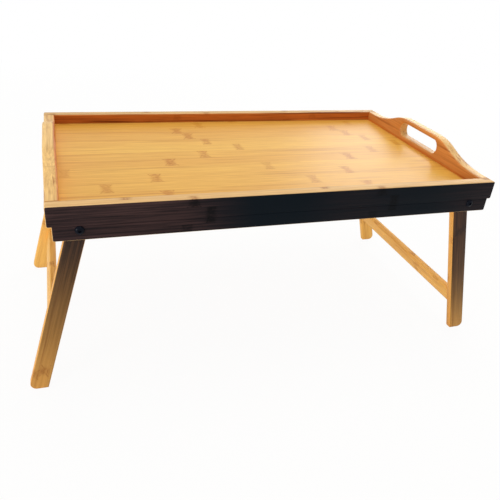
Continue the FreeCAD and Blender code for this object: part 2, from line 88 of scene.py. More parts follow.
def smooth_by_angle(mesh, limit):
    """Shade a mesh smooth, with a crease wherever two faces meet at more than the limit."""
    form = bmesh.new()
    form.from_mesh(mesh)
    for face in form.faces:
        face.smooth = True
    for edge in form.edges:
        edge.smooth = len(edge.link_faces) == 2 and edge.calc_face_angle(math.pi) < limit
    form.to_mesh(mesh)
    form.free()


# ---------------------------------------------------------------- bamboo

# Flat-pressed bamboo: strips as wide as a split cane lie side by side, and each has its own tone,
# fibres along the cane, and a speckled joint of the cane every 17 to 24 cm.
# A layer of the grain is noise drawn out to a length along the cane and a width across it. It starts
# to show where the noise passes low, and shows in full from high; least, where given, shows throughout.
# A bundle of fibres is 0.2 to 0.4 mm wide, and the fine fibres are drawn at 0.8 mm so that they show.
FIBRES = {"length_mm": 70.0, "width_mm": 2.3, "detail": 3.0, "low": 0.32, "high": 0.68, "ramp": "LINEAR"}
FINE_FIBRES = {"length_mm": 26.0, "width_mm": 0.8, "detail": 2.0, "low": 0.3, "high": 0.7, "ramp": "LINEAR"}
STREAKS = {"length_mm": 210.0, "width_mm": 5.5, "detail": 2.0, "low": 0.52, "high": 0.68,
           "ramp": "SMOOTHSTEP"}
SPECKLES = {"length_mm": 6.0, "width_mm": 2.2, "detail": 1.5, "low": 0.34, "high": 0.6, "least": 0.4,
            "ramp": "SMOOTHSTEP"}
DASHES = {"length_mm": 4.0, "width_mm": 1.4, "detail": 1.0, "low": 0.38, "high": 0.55, "ramp": "SMOOTHSTEP"}
# noise along which a painted cold reflection drifts in the painted shade of the rails and legs
PAINTED_SHADE_CAST = {"length_mm": 260.0, "width_mm": 240.0, "detail": 1.0, "low": 0.36, "high": 0.58,
              "ramp": "LINEAR"}
GRAIN_ROUGHNESS = 0.62

# How far the grain is moved from one board to the next, and at most from one strip to the next,
# there in lengths of its own noise.
BOARD_STEP_MM = 37.0
STRIP_SHIFT_MOST = 40.0

# Half the width of a cane joint's speckled band and of its full middle, the place of the two rows of
# dashes in it, how far these bow at a strip's edges, and half the width of a row and of its middle.
# The faintest joints show at FAINTEST_JOINT.
JOINT_HALF_MM = 8.0
JOINT_MIDDLE_MM = 1.0
RING_PLACE_MM = 1.5
RING_BOWS_MM = (5.0, 15.0)
RING_HALF_MM = 1.8
RING_MIDDLE_MM = 0.3
FAINTEST_JOINT = 0.45

GLUE_LINE_MM = 0.5
INNER_SHADE_BLUR_MM = 0.5
# A face is a cut end where its normal follows the grain this closely; its fibres are dots.
END_FACING = (0.75, 0.95)
END_DOTS = {"spacing_mm": 0.7, "low": 0.1, "high": 0.4, "least": 0.4}

# The painted shade is full to the first depth below a board's outer face, and gone at the second.
PAINTED_SHADE_FULL_MM = 0.55
PAINTED_SHADE_END_MM = 0.9
CAST_SHIFT = 6.0

WOOD_ROUGHNESS = 0.5
LACQUER_IOR = 1.5
RELIEF_MM = 0.1
RELIEF_STRENGTH = 0.1


def grain_frame(along, through):
    """Directions along the grain, across the strips and through the layers of a board."""
    return tuple(along), tuple(Vector(through).cross(Vector(along))), tuple(through)


def board_places(tree, board, seed):
    """Place in mm along the grain, across the strips and through the layers, and the coordinates."""
    places = add(tree, "ShaderNodeTexCoord")
    turned = add(tree, "ShaderNodeMapping", {
        "Vector": places.outputs["Object"], "Rotation": Matrix(board["grain"]).to_euler(),
        "Scale": (1 / MM,) * 3, "Location": (BOARD_STEP_MM * seed, 0.0, 0.0)})
    return add(tree, "ShaderNodeSeparateXYZ", {"Vector": turned}), places


def grain_layer(tree, parts, layer, shift):
    """One layer of the grain, 0 to 1; shift moves it from strip to strip."""
    sizes_mm = (layer["length_mm"], layer["width_mm"], layer["width_mm"])
    scaled = [add(tree, "ShaderNodeMath", {0: part, 1: 1 / size}, operation="MULTIPLY")
              for part, size in zip(parts.outputs, sizes_mm)]
    shifted = add(tree, "ShaderNodeMath", {0: scaled[0], 1: shift}, operation="ADD")
    place = add(tree, "ShaderNodeCombineXYZ", {"X": shifted, "Y": scaled[1], "Z": scaled[2]})
    noise = add(tree, "ShaderNodeTexNoise", {
        "Vector": place, "Scale": 1.0, "Detail": layer["detail"], "Roughness": GRAIN_ROUGHNESS})
    return add(tree, "ShaderNodeMapRange", {
        "Value": noise, "From Min": layer["low"], "From Max": layer["high"],
        "To Min": layer.get("least", 0.0)}, interpolation_type=layer["ramp"])


def strips_and_layers(tree, board, parts, seed):
    """Place across the strips, counted in strips, depth behind the inner face, and each strip's draws."""
    _, across, through = parts.outputs
    strip_place = add(tree, "ShaderNodeMath", {0: across, 1: board["strip_mm"]}, operation="DIVIDE")
    strip_place = add(tree, "ShaderNodeMath", {0: strip_place, 1: board["strip_shift"]}, operation="ADD")
    depth = add(tree, "ShaderNodeMath", {0: through, 1: board["inner_mm"]}, operation="SUBTRACT")
    layer_place = add(tree, "ShaderNodeMath", {0: depth, 1: board["layer_mm"]}, operation="DIVIDE")
    strip = add(tree, "ShaderNodeMath", {0: strip_place}, operation="FLOOR")
    layer = add(tree, "ShaderNodeMath", {0: layer_place}, operation="FLOOR")
    cell = add(tree, "ShaderNodeCombineXYZ", {"X": strip, "Y": layer, "Z": float(seed)})
    chance = add(tree, "ShaderNodeTexWhiteNoise", {"Vector": cell}, noise_dimensions="3D")
    return strip_place, depth, chance


def cane_joints(tree, board, parts, edge, draws, shift):
    """A speckled joint of the cane every joint_step_mm along each strip, fainter on some strips."""
    step = add(tree, "ShaderNodeMath",
               {0: parts.outputs[0], 1: board["joint_step_mm"]}, operation="DIVIDE")
    step = add(tree, "ShaderNodeMath", {0: step, 1: draws.outputs["Y"]}, operation="ADD")
    step = add(tree, "ShaderNodeMath", {0: step}, operation="FRACT")
    step = add(tree, "ShaderNodeMath", {0: step, 1: 0.5}, operation="SUBTRACT")
    from_joint = add(tree, "ShaderNodeMath", {0: step, 1: board["joint_step_mm"]}, operation="MULTIPLY")
    from_joint = add(tree, "ShaderNodeMath", {0: from_joint}, operation="ABSOLUTE")
    near_joint = add(tree, "ShaderNodeMapRange",
                     {"Value": from_joint, "From Min": JOINT_HALF_MM, "From Max": JOINT_MIDDLE_MM},
                     interpolation_type="SMOOTHSTEP")
    speckles = grain_layer(tree, parts, SPECKLES, shift)
    joints = add(tree, "ShaderNodeMath", {0: near_joint, 1: speckles}, operation="MULTIPLY")

    # two rows of darker dashes run across the strip, and bow away from the joint at its edges
    bow = add(tree, "ShaderNodeMapRange", {
        "Value": draws.outputs["X"], "To Min": RING_BOWS_MM[0], "To Max": RING_BOWS_MM[1]})
    bow = add(tree, "ShaderNodeMath", {0: edge, 1: bow}, operation="MULTIPLY")
    from_ring = add(tree, "ShaderNodeMath", {0: from_joint, 1: bow}, operation="SUBTRACT")
    from_ring = add(tree, "ShaderNodeMath", {0: from_ring, 1: RING_PLACE_MM}, operation="SUBTRACT")
    from_ring = add(tree, "ShaderNodeMath", {0: from_ring}, operation="ABSOLUTE")
    rings = add(tree, "ShaderNodeMapRange",
                {"Value": from_ring, "From Min": RING_HALF_MM, "From Max": RING_MIDDLE_MM},
                interpolation_type="SMOOTHSTEP")
    dashes = grain_layer(tree, parts, DASHES, shift)
    rings = add(tree, "ShaderNodeMath", {0: rings, 1: dashes}, operation="MULTIPLY")
    joints = add(tree, "ShaderNodeMath", {0: joints, 1: rings}, operation="MAXIMUM")
    plainness = add(tree, "ShaderNodeMapRange", {"Value": draws.outputs["Z"], "To Min": FAINTEST_JOINT})
    return add(tree, "ShaderNodeMath", {0: joints, 1: plainness}, operation="MULTIPLY")


def strip_tones(tree, board, depth, chance):
    """Each strip's own tone, and painted shade on a side towards the tray, in the inner_shade colour to a
    depth of inner_shade_mm.
    """
    inner_shade = add(tree, "ShaderNodeMapRange", {
        "Value": depth, "From Min": board["inner_shade_mm"] + INNER_SHADE_BLUR_MM,
        "From Max": board["inner_shade_mm"] - INNER_SHADE_BLUR_MM})
    pale = add(tree, "ShaderNodeMixRGB",
               {"Fac": inner_shade, "Color1": linear(board["pale"]), "Color2": linear(board["inner_shade"])})
    tone = add(tree, "ShaderNodeMath",
               {0: chance.outputs["Value"], 1: board["tone"]}, operation="MULTIPLY")
    return add(tree, "ShaderNodeMixRGB", {"Fac": tone, "Color1": pale, "Color2": linear(board["warm"])})


def with_cut_ends(tree, board, parts, places, colour):
    """Cut cane ends are darker, with the dots of the cut fibres."""
    _, across, through = parts.outputs
    facing = add(tree, "ShaderNodeVectorMath",
                 {0: places.outputs["Normal"], 1: board["grain"][0]}, operation="DOT_PRODUCT")
    facing = add(tree, "ShaderNodeMath", {0: facing.outputs["Value"]}, operation="ABSOLUTE")
    on_end = add(tree, "ShaderNodeMapRange",
                 {"Value": facing, "From Min": END_FACING[0], "From Max": END_FACING[1]},
                 interpolation_type="SMOOTHSTEP")
    end_place = add(tree, "ShaderNodeCombineXYZ", {"X": across, "Y": through})
    dots = add(tree, "ShaderNodeTexVoronoi", {"Vector": end_place, "Scale": 1 / END_DOTS["spacing_mm"]})
    dots = add(tree, "ShaderNodeMapRange", {
        "Value": dots, "From Min": END_DOTS["low"], "From Max": END_DOTS["high"],
        "To Min": END_DOTS["least"]})
    end_colour = add(tree, "ShaderNodeMixRGB",
                     {"Fac": dots, "Color1": linear(board["deep"]), "Color2": linear(board["warm"])})
    return add(tree, "ShaderNodeMixRGB", {"Fac": on_end, "Color1": colour, "Color2": end_colour})


def bamboo_colour(tree, board, parts, places, seed):
    """Colour, fibres and cane joints of a laminated bamboo board, with the painted shade on its side
    towards the tray, before the painted shade on its outer face.
    """
    strip_place, depth, chance = strips_and_layers(tree, board, parts, seed)
    draws = add(tree, "ShaderNodeSeparateXYZ", {"Vector": chance.outputs["Color"]})
    shift = add(tree, "ShaderNodeMath",
                {0: draws.outputs["X"], 1: STRIP_SHIFT_MOST}, operation="MULTIPLY")

    # 0 in the middle of a strip and 0.5 at the glue line on either side of it
    edge = add(tree, "ShaderNodeMath", {0: strip_place}, operation="FRACT")
    edge = add(tree, "ShaderNodeMath", {0: edge, 1: 0.5}, operation="SUBTRACT")
    edge = add(tree, "ShaderNodeMath", {0: edge}, operation="ABSOLUTE")
    glue = add(tree, "ShaderNodeMapRange", {
        "Value": edge, "From Min": 0.5 - GLUE_LINE_MM / board["strip_mm"], "From Max": 0.5})

    fibres = grain_layer(tree, parts, FIBRES, shift)
    joints = cane_joints(tree, board, parts, edge, draws, shift)
    colour = strip_tones(tree, board, depth, chance)
    for name, source, dark in (("fibre", fibres, "deep"),
                               ("fine", grain_layer(tree, parts, FINE_FIBRES, shift), "deep"),
                               ("streak", grain_layer(tree, parts, STREAKS, shift), "deep"),
                               ("glue", glue, "deep"),
                               ("joint", joints, "knot")):
        strength = add(tree, "ShaderNodeMath", {0: source, 1: board[name]}, operation="MULTIPLY")
        colour = add(tree, "ShaderNodeMixRGB",
                     {"Fac": strength, "Color1": colour, "Color2": linear(board[dark])})
    return with_cut_ends(tree, board, parts, places, colour), fibres, joints


def painted_shade_amount(tree, painted_shade, places):
    """How strongly painted shade covers a board: full on its outer face, none on its eased edges and ends,
    which look lit.
    """
    place = add(tree, "ShaderNodeSeparateXYZ", {"Vector": places.outputs["Object"]})
    outwards = add(tree, "ShaderNodeMath",
                   {0: place.outputs["Y"], 1: painted_shade["end"] / MM}, operation="MULTIPLY")
    depth = add(tree, "ShaderNodeMath", {0: painted_shade["face"] / MM, 1: outwards}, operation="SUBTRACT")
    amount = add(tree, "ShaderNodeMapRange",
                 {"Value": depth, "From Min": PAINTED_SHADE_END_MM, "From Max": PAINTED_SHADE_FULL_MM},
                 interpolation_type="SMOOTHSTEP")
    if "fade_height" not in painted_shade:
        return amount
    # on a leg the painted shade thins from fade_height down to the foot, so that the foot looks lit
    bare = add(tree, "ShaderNodeMapRange",
               {"Value": place.outputs["Z"], "From Min": painted_shade["fade_height"], "From Max": 0.0})
    bare = add(tree, "ShaderNodeMath", {0: bare, 1: painted_shade["fade_power"]}, operation="POWER")
    bare = add(tree, "ShaderNodeMath", {0: bare, 1: painted_shade["bare_foot"]}, operation="MULTIPLY")
    kept = add(tree, "ShaderNodeMath", {0: 1.0, 1: bare}, operation="SUBTRACT")
    return add(tree, "ShaderNodeMath", {0: amount, 1: kept}, operation="MULTIPLY")


def shade_painted(tree, painted_shade, parts, places, seed, bare):
    """Painted shade on a board's outer face, with a painted cold reflection here and there along it; fibres
    and joints show through.
    """
    colour, fibres, joints = bare
    shade = add(tree, "ShaderNodeMixRGB",
                {"Fac": fibres, "Color1": linear(painted_shade["light"]), "Color2": linear(painted_shade["dark"])})
    # a painted cold reflection in the painted shade, here and there along the board
    cast = grain_layer(tree, parts, PAINTED_SHADE_CAST, CAST_SHIFT + seed)
    cast = add(tree, "ShaderNodeMath", {0: cast, 1: painted_shade["cast"]}, operation="MULTIPLY")
    shade = add(tree, "ShaderNodeMixRGB", {"Fac": cast, "Color1": shade, "Color2": linear(painted_shade["cold"])})
    marks = add(tree, "ShaderNodeMath", {0: joints, 1: painted_shade["joint"]}, operation="MULTIPLY")
    shade = add(tree, "ShaderNodeMixRGB", {"Fac": marks, "Color1": shade, "Color2": linear(painted_shade["mark"])})
    return add(tree, "ShaderNodeMixRGB",
               {"Fac": painted_shade_amount(tree, painted_shade, places), "Color1": colour, "Color2": shade})


def bamboo(name, board, seed, painted_shade=None):
    """Laminated bamboo under clear satin lacquer, planed and sanded: straight grain, a soft gleam, and
    painted shade where one is given.
    """
    material, tree = new_material(name)
    parts, places = board_places(tree, board, seed)
    bare = bamboo_colour(tree, board, parts, places, seed)
    colour, fibres, _ = bare
    if painted_shade:
        colour = shade_painted(tree, painted_shade, parts, places, seed, bare)
    relief = add(tree, "ShaderNodeMath", {0: 1.0, 1: fibres}, operation="SUBTRACT")
    bump = add(tree, "ShaderNodeBump",
               {"Height": relief, "Strength": RELIEF_STRENGTH, "Distance": RELIEF_MM * MM})
    shader = add(tree, "ShaderNodeBsdfPrincipled", {
        "Base Color": colour, "Normal": bump, "Roughness": WOOD_ROUGHNESS,
        "Specular IOR Level": board["gloss"], "Coat Weight": board["coat"],
        "Coat Roughness": board["coat_rough"], "Coat IOR": LACQUER_IOR})
    add(tree, "ShaderNodeOutputMaterial", {"Surface": shader})
    return material


UPWARDS = (0, 0, 1)
REARWARDS = (0, 1, 0)
RIGHTWARDS = (1, 0, 0)


def leg_lean(side):
    """Direction down the lean of an open leg."""
    return side * math.sin(SPLAY), 0.0, -math.cos(SPLAY)


# A board's strips are strip_mm wide and layer_mm thick, and its layers are counted from inner_mm. In
# rails and panels that is the inner face, which carries painted shade in the inner_shade colour to a depth
# of inner_shade_mm. The numbers from tone to glue say how strongly each layer of the grain shows.
FLOOR_BOARD = {
    "grain": grain_frame(RIGHTWARDS, UPWARDS), "strip_mm": 23.0, "strip_shift": 0.3,
    "layer_mm": 40.0, "inner_mm": 170.0, "inner_shade_mm": 0.0, "joint_step_mm": 235.0,
    "pale": "#F4C458", "inner_shade": "#F4C458", "warm": "#E4AA48", "deep": "#B66E12", "knot": "#B87200",
    "tone": 0.8, "fibre": 0.36, "fine": 0.3, "streak": 0.4, "joint": 1.0, "glue": 0.15,
    "gloss": 0.15, "coat": 0.28, "coat_rough": 0.32}
RAIL_BOARD = {
    "strip_mm": 18.25, "strip_shift": 0.0, "layer_mm": 7.0, "inner_mm": 136.0, "inner_shade_mm": 0.0,
    "joint_step_mm": 210.0, "pale": "#F2CE92", "inner_shade": "#C8621E", "warm": "#E0A85E",
    "deep": "#8A4010", "knot": "#884210",
    "tone": 0.4, "fibre": 0.3, "fine": 0.2, "streak": 0.4, "joint": 0.6, "glue": 0.15,
    "gloss": 0.05, "coat": 0.03, "coat_rough": 0.3}
RAIL_BOARDS = {
    "front": RAIL_BOARD,
    # the rear rail's inner face carries painted shade to a depth of 1 mm, and its grain is darker and
    # stronger
    "rear": dict(RAIL_BOARD, inner_shade_mm=1.0, inner_shade="#D26C24", deep="#70300A", fibre=0.5, streak=0.8)}
# the panels' inner faces carry painted shade to a depth of 1.2 mm
PANEL_BOARD = dict(
    RAIL_BOARD, layer_mm=13 / 3, inner_mm=237.0, inner_shade_mm=1.2, joint_step_mm=190.0,
    pale="#FCD488", inner_shade="#DE8234", deep="#8E420E", knot="#A45C1C",
    fibre=0.34, streak=0.55, joint=0.28, gloss=0.15, coat=0.15)
# Stretchers and rear legs are painted paler than the front legs: painted light on the stretchers and rear
# legs under the tray, painted shade on the front legs.
STRETCHER_BOARD = dict(
    RAIL_BOARD, strip_mm=10.0, layer_mm=5.0, inner_mm=-400.0, joint_step_mm=170.0,
    pale="#FECC70", warm="#F4B858", deep="#A45E18", knot="#A0581A", gloss=0.12, coat=0.1)
LEG_BOARDS = {"front": dict(STRETCHER_BOARD, pale="#F4BA62", warm="#E6A44C"), "rear": STRETCHER_BOARD}
DOWEL_WOOD = dict(STRETCHER_BOARD, grain=grain_frame(REARWARDS, RIGHTWARDS), pale="#E8D0A4", warm="#DEC08C")

# The rails' and legs' outer faces carry painted shade, near black on the rails. On the legs it is deepest
# at the tray and thins below fade_height towards the feet, sooner on the left, so that the feet look lit.
RAIL_PAINTED_SHADE = {"dark": "#1A1315", "light": "#402E2D", "cold": "#060F16", "cast": 1.0,
              "mark": "#020304", "joint": 0.8}
LEG_PAINTED_SHADE = {"dark": "#1C110C", "light": "#553824", "cold": "#1C1818", "cast": 0.4,
             "mark": "#160E0C", "joint": 0.6, "fade_height": 0.185}
LEG_FADES = {"left": {"fade_power": 1.7, "bare_foot": 0.8}, "right": {"fade_power": 3.2, "bare_foot": 0.72}}

# Each board's own number, which places its grain and draws the tones of its strips.
SEEDS = {"floor_panel": 3, "front_rail": 0, "rear_rail": 1, "left_side_panel": 5, "right_side_panel": 6,
         "left_stretcher": 9, "right_stretcher": 10, "left_front_leg": -2, "right_front_leg": -1,
         "left_rear_leg": 12, "right_rear_leg": 13, "corner_dowels": 21}


def outer_face(node, end):
    """Distance from the middle of the tray to a node's outer face, at its front or rear."""
    low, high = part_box(node)
    return high.y if end > 0 else -low.y


# ---------------------------------------------------------------- boards

# Flats on the long edges meet the faces at 45 degrees, and sanding rounds their corners by this much.
ARRIS_SOFTNESS_MM = 0.45
ARRIS_ANGLES = (math.radians(35), math.radians(55))
# Corners this near are one, and faces that meet at less than this angle are one.
DOUBLES = 1e-6
COPLANAR = math.radians(0.05)
CREASE = math.radians(38)


def softened_board(node, body, material):
    """A piece with the shape of a CAD board, the flats on its long edges rubbed round by sandpaper."""
    form = bmesh.new()
    form.from_mesh(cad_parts[node].data)
    bmesh.ops.remove_doubles(form, verts=form.verts, dist=DOUBLES)
    bmesh.ops.dissolve_limit(form, angle_limit=COPLANAR, verts=form.verts, edges=form.edges)
    low, high = ARRIS_ANGLES
    arrises = [edge for edge in form.edges
               if len(edge.link_faces) == 2 and low < edge.calc_face_angle() < high]
    bmesh.ops.bevel(form, geom=arrises, offset=ARRIS_SOFTNESS_MM * MM, segments=2, profile=0.5,
                    affect="EDGES", clamp_overlap=True)
    mesh = bpy.data.meshes.new(f"{node}_softened")
    form.to_mesh(mesh)
    form.free()
    smooth_by_angle(mesh, CREASE)
    mesh.materials.clear()
    mesh.materials.append(material)
    piece = bpy.data.objects.new(f"{node}_board", mesh)
    bpy.context.scene.collection.objects.link(piece)
    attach(piece, body)
    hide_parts(node)


def dress_boards():
    """Give every board its grain, its lacquer and its painted light and shade."""
    softened_board("floor_panel", "tray",
                   bamboo("floor, lacquered bamboo", FLOOR_BOARD, SEEDS["floor_panel"]))
    for end_name, end in ENDS.items():
        rail = f"{end_name}_rail"
        # painted shade on the rail's outer face
        painted_shade = dict(RAIL_PAINTED_SHADE, end=end, face=outer_face(rail, end))
        board = dict(RAIL_BOARDS[end_name], grain=grain_frame(RIGHTWARDS, (0, end, 0)))
        finish_and_painted_light = bamboo(f"{rail}, lacquered bamboo with one stained face", board, SEEDS[rail], painted_shade)
        softened_board(rail, "tray", finish_and_painted_light)
    for side_name, side in SIDES.items():
        panel = f"{side_name}_side_panel"
        board = dict(PANEL_BOARD, grain=grain_frame(REARWARDS, (side, 0, 0)))
        finish_and_painted_light = bamboo(f"{side_name} panel, lacquered bamboo", board, SEEDS[panel])
        softened_board(panel, "tray", finish_and_painted_light)
        softened_board(f"{side_name}_stop_batten", "tray", finish_and_painted_light)
        frame_body = f"{side_name}_leg_frame"
        stretcher = f"{side_name}_stretcher"
        board = dict(STRETCHER_BOARD, grain=grain_frame(REARWARDS, leg_lean(side)))
        finish_and_painted_light = bamboo(f"{side_name} stretcher, lacquered bamboo", board, SEEDS[stretcher])
        softened_board(stretcher, frame_body, finish_and_painted_light)
        for end_name, end in ENDS.items():
            leg = f"{side_name}_{end_name}_leg"
            # painted shade on the leg's outer face, thinning towards the foot
            painted_shade = dict(LEG_PAINTED_SHADE, **LEG_FADES[side_name], end=end, face=outer_face(leg, end))
            board = dict(LEG_BOARDS[end_name], grain=grain_frame(leg_lean(side), (0, end, 0)))
            finish_and_painted_light = bamboo(f"{leg}, lacquered bamboo with a fading stain", board, SEEDS[leg], painted_shade)
            softened_board(leg, frame_body, finish_and_painted_light)


def dress_dowels():
    """Give the fluted dowels inside the corners their wood."""
    finish_and_painted_light = bamboo("fluted dowels, bamboo", DOWEL_WOOD, SEEDS["corner_dowels"])
    for side in SIDES:
        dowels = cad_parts[f"{side}_corner_dowels"]
        dowels.data.materials.clear()
        dowels.data.materials.append(finish_and_painted_light)


# ---------------------------------------------------------------- metal and nylon

def clouded_colour(tree, clouds_per_mm, detail, dark, light):
    """A colour that drifts softly between two tones, and the noise that it follows."""
    places = add(tree, "ShaderNodeTexCoord")
    cloud = add(tree, "ShaderNodeTexNoise", {
        "Vector": places.outputs["Object"], "Scale": clouds_per_mm / MM, "Detail": detail})
    colour = add(tree, "ShaderNodeMixRGB", {"Fac": cloud, "Color1": linear(dark), "Color2": linear(light)})
    return cloud, colour


def black_oxide():
    """Blackened steel, oiled: almost black, with a cold soft gleam."""
    material, tree = new_material("black oxide steel")
    cloud, colour = clouded_colour(tree, 0.9, 3.0, "#03050C", "#080E1C")
    rough = add(tree, "ShaderNodeMapRange", {"Value": cloud, "To Min": 0.22, "To Max": 0.32})
    shader = add(tree, "ShaderNodeBsdfPrincipled",
                 {"Base Color": colour, "Roughness": rough, "Specular IOR Level": 0.08})
    add(tree, "ShaderNodeOutputMaterial", {"Surface": shader})
    return material


def bright_zinc():
    """Zinc-plated steel, tumbled: silver grey, with a faintly uneven shine."""
    material, tree = new_material("bright zinc plate")
    cloud, colour = clouded_colour(tree, 1.5, 4.0, "#B4B6B8", "#CDCFD0")
    rough = add(tree, "ShaderNodeMapRange", {"Value": cloud, "To Min": 0.22, "To Max": 0.38})
    shader = add(tree, "ShaderNodeBsdfPrincipled",
                 {"Base Color": colour, "Metallic": 1.0, "Roughness": rough})
    add(tree, "ShaderNodeOutputMaterial", {"Surface": shader})
    return material


def natural_nylon():
    """Moulded nylon: milky white, slightly waxy."""
    material, tree = new_material("natural nylon")
    _, colour = clouded_colour(tree, 0.5, 2.0, "#DAD7CC", "#E8E6DE")
    shader = add(tree, "ShaderNodeBsdfPrincipled", {"Base Color": colour, "Roughness": 0.45})
    add(tree, "ShaderNodeOutputMaterial", {"Surface": shader})
    return material


BLACK_STEEL = black_oxide()
ZINC = bright_zinc()
NYLON = natural_nylon()


# ---------------------------------------------------------------- pivot hardware

# M5 domed bolts with a 3 mm hexagon socket, and M5 nuts with a nylon locking collar
SHANK_RADIUS_MM = 2.5
SOCKET_CORNERS_MM = 3.46
SOCKET_DEPTH_MM = 1.6
THREAD_PITCH_MM = 0.8
NUT_HEXAGON_MM = 3.7
NUT_BORE_GAP_MM = 0.08
COLLAR_RADIUS_MM = 3.4
# Radius of the thread's ridge as a share of its pitch, and facets round a cylinder.
RIDGE_SHARE = 0.3
ROUND_FACETS = 48
# A shape that trims another is larger than it by this factor.
PROUD = 1.5
# The ball that turns off a nut's corners, against the nut's radius and height.
TURNED_WIDTH = 1.02
TURNED_HEIGHT = 1.15


def new_growth(name, inputs):
    """A geometry tree with named size inputs; returns the tree and its input node."""
    tree = bpy.data.node_groups.new(name, "GeometryNodeTree")
    tree.interface.new_socket("Geometry", in_out="INPUT", socket_type="NodeSocketGeometry")
    for label in inputs:
        tree.interface.new_socket(label, in_out="INPUT", socket_type="NodeSocketFloat")
    tree.interface.new_socket("Geometry", in_out="OUTPUT", socket_type="NodeSocketGeometry")
    return tree, tree.nodes.new("NodeGroupInput")


def grown_piece(name, tree, sizes, body, replaced):
    """Run a geometry tree with its sizes, and make the result a plain piece that rides on a body."""
    holder = bpy.data.objects.new(f"{name}_growth", bpy.data.meshes.new(f"{name}_growth"))
    bpy.context.scene.collection.objects.link(holder)
    modifier = holder.modifiers.new("growth", "NODES")
    modifier.node_group = tree
    for item in tree.interface.items_tree:
        if item.in_out == "INPUT" and item.name in sizes:
            modifier[item.identifier] = float(sizes[item.name])
    view = bpy.context.evaluated_depsgraph_get()
    mesh = bpy.data.meshes.new_from_object(holder.evaluated_get(view))
    bpy.data.objects.remove(holder)
    smooth_by_angle(mesh, CREASE)
    piece = bpy.data.objects.new(name, mesh)
    bpy.context.scene.collection.objects.link(piece)
    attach(piece, body)
    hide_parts(*replaced)


def solid_cylinder(tree, radius, depth, lift, vertices=ROUND_FACETS):
    """A solid cylinder whose foot is lifted along its own Z axis."""
    half = add(tree, "ShaderNodeMath", {0: depth, 1: 2.0}, operation="DIVIDE")
    middle = add(tree, "ShaderNodeMath", {0: half, 1: lift}, operation="ADD")
    place = add(tree, "ShaderNodeCombineXYZ", {"Z": middle})
    body = add(tree, "GeometryNodeMeshCylinder",
               {"Vertices": vertices, "Radius": radius, "Depth": depth})
    return add(tree, "GeometryNodeTransform", {"Geometry": body, "Translation": place})


def on_the_pivots(tree, inputs, shape):
    """Put a shape on all four pivots, its own Z axis pointing away from the tray."""
    spots = add(tree, "GeometryNodeMeshGrid", {
        "Size X": inputs.outputs["Pivot Spacing"], "Size Y": inputs.outputs["Seat Spacing"],
        "Vertices X": 2, "Vertices Y": 2})
    height = add(tree, "ShaderNodeCombineXYZ", {"Z": inputs.outputs["Pivot Height"]})
    spots = add(tree, "GeometryNodeTransform", {"Geometry": spots, "Translation": height})
    place = add(tree, "GeometryNodeInputPosition")
    parts = add(tree, "ShaderNodeSeparateXYZ", {"Vector": place})
    end = add(tree, "ShaderNodeMath", {0: parts.outputs["Y"]}, operation="SIGN")
    tilt = add(tree, "ShaderNodeMath", {0: end, 1: -math.pi / 2}, operation="MULTIPLY")
    turn = add(tree, "ShaderNodeCombineXYZ", {"X": tilt})
    placed = add(tree, "GeometryNodeInstanceOnPoints",
                 {"Points": spots, "Instance": shape, "Rotation": turn})
    return add(tree, "GeometryNodeRealizeInstances", {"Geometry": placed})


PIVOT_INPUTS = ["Pivot Spacing", "Seat Spacing", "Pivot Height"]


def bolt_growth():
    """Domed socket-head bolts with the last turns of their thread."""
    tree, inputs = new_growth("pivot bolts", PIVOT_INPUTS + [
        "Head Radius", "Head Height", "Socket Across Corners", "Socket Depth", "Shank Radius",
        "Shank Length", "Thread Length", "Thread Pitch"])
    size = inputs.outputs
    ball = add(tree, "GeometryNodeMeshUVSphere",
               {"Segments": ROUND_FACETS, "Rings": ROUND_FACETS // 2 + 1, "Radius": 1.0})
    stretch = add(tree, "ShaderNodeCombineXYZ",
                  {"X": size["Head Radius"], "Y": size["Head Radius"], "Z": size["Head Height"]})
    dome = add(tree, "GeometryNodeTransform", {"Geometry": ball, "Scale": stretch})
    wide = add(tree, "ShaderNodeMath", {0: size["Head Radius"], 1: PROUD}, operation="MULTIPLY")
    tall = add(tree, "ShaderNodeMath", {0: size["Head Height"], 1: PROUD}, operation="MULTIPLY")
    above = solid_cylinder(tree, wide, tall, 0.0)
    head = add(tree, "GeometryNodeMeshBoolean", {"Mesh 2": [dome, above]}, operation="INTERSECT")
    socket_radius = add(tree, "ShaderNodeMath",
                        {0: size["Socket Across Corners"], 1: 2.0}, operation="DIVIDE")
    socket_floor = add(tree, "ShaderNodeMath",
                       {0: size["Head Height"], 1: size["Socket Depth"]}, operation="SUBTRACT")
    socket = solid_cylinder(tree, socket_radius, size["Head Height"], socket_floor, vertices=6)
    head = add(tree, "GeometryNodeMeshBoolean",
               {"Mesh 1": head, "Mesh 2": socket}, operation="DIFFERENCE")
    down = add(tree, "ShaderNodeMath", {0: size["Shank Length"], 1: -1.0}, operation="MULTIPLY")
    shank = solid_cylinder(tree, size["Shank Radius"], size["Shank Length"], down)
    turns = add(tree, "ShaderNodeMath",
                {0: size["Thread Length"], 1: size["Thread Pitch"]}, operation="DIVIDE")
    coil = add(tree, "GeometryNodeCurveSpiral", {
        "Resolution": 24, "Rotations": turns, "Start Radius": size["Shank Radius"],
        "End Radius": size["Shank Radius"], "Height": size["Thread Length"]})
    ridge = add(tree, "ShaderNodeMath", {0: size["Thread Pitch"], 1: RIDGE_SHARE}, operation="MULTIPLY")
    section = add(tree, "GeometryNodeCurvePrimitiveCircle", {"Resolution": 6, "Radius": ridge})
    thread = add(tree, "GeometryNodeCurveToMesh",
                 {"Curve": coil, "Profile Curve": section, "Fill Caps": True})
    tail = add(tree, "ShaderNodeCombineXYZ", {"Z": down})
    thread = add(tree, "GeometryNodeTransform", {"Geometry": thread, "Translation": tail})
    bolt = add(tree, "GeometryNodeJoinGeometry", {"Geometry": [head, shank, thread]})
    whole = on_the_pivots(tree, inputs, bolt)
    finished = add(tree, "GeometryNodeSetMaterial", {"Geometry": whole, "Material": BLACK_STEEL})
    add(tree, "NodeGroupOutput", {0: finished})
    return tree


